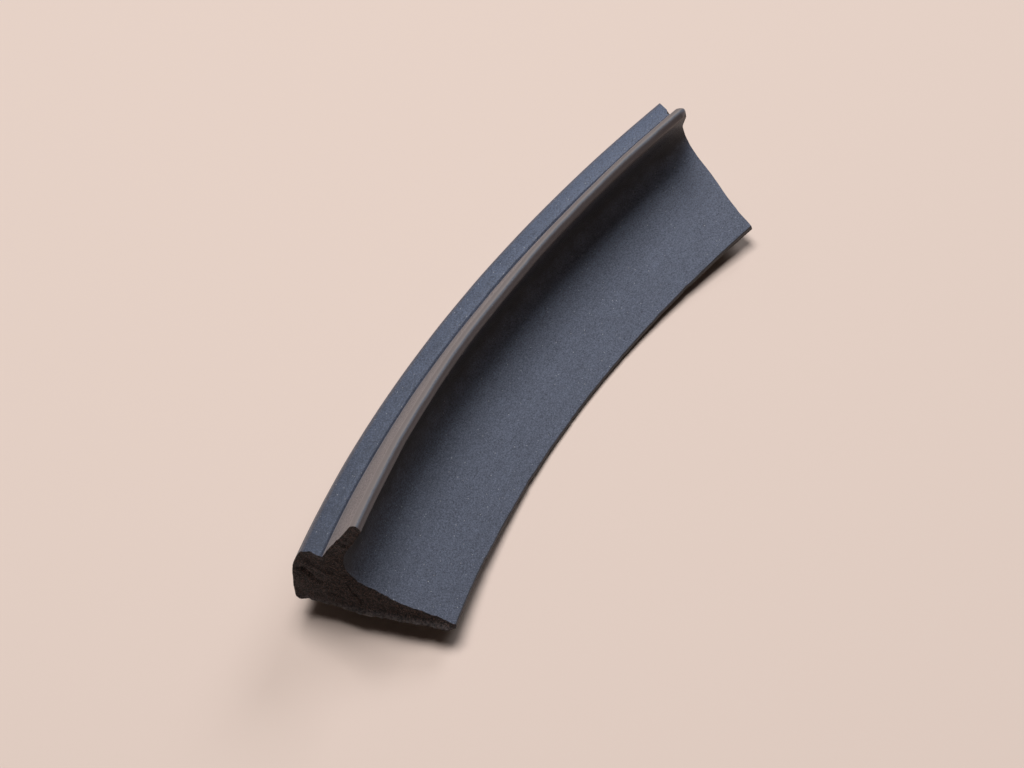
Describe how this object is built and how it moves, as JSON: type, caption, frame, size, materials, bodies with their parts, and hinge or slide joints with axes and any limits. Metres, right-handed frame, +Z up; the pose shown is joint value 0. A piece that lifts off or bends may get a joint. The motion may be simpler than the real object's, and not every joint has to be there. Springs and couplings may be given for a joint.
{
  "type": "rubber lip seal ring segment",
  "caption": "Short curved length cut from a moulded rubber lip-seal ring: rounded heel, V groove, upright lip and tapering conical flange.",
  "frame": {"origin": "centre of the bounding box's underside, on the surface the piece rests on", "axes": "+X along the piece from the rough-cut end to the clean-cut end, +Y outwards from the ring to the heel, +Z up"},
  "size_m": [0.1192, 0.0338, 0.0267],
  "materials": {
    "core_rubber": "coarse knife-cut black rubber, granular, matte",
    "cover_rubber": "smooth matte slate-black moulded rubber with fine dust",
    "lip_rubber": "matte dark grey-brown moulded rubber",
    "tan_facing": "weathered brown-grey rubber facing, streaked along its length",
    "heel_rubber": "matte black moulded rubber",
    "cap_rubber": "smooth blue-grey rubber strip, slightly satin"
  },
  "bodies": {
    "root": {"flange_core": "core_rubber", "flange_cover": "cover_rubber", "middle_wedge": "core_rubber", "sealing_lip": "lip_rubber", "lip_facing": "tan_facing", "heel_block": "heel_rubber", "heel_cap": "cap_rubber"}
  },
  "joints": []
}
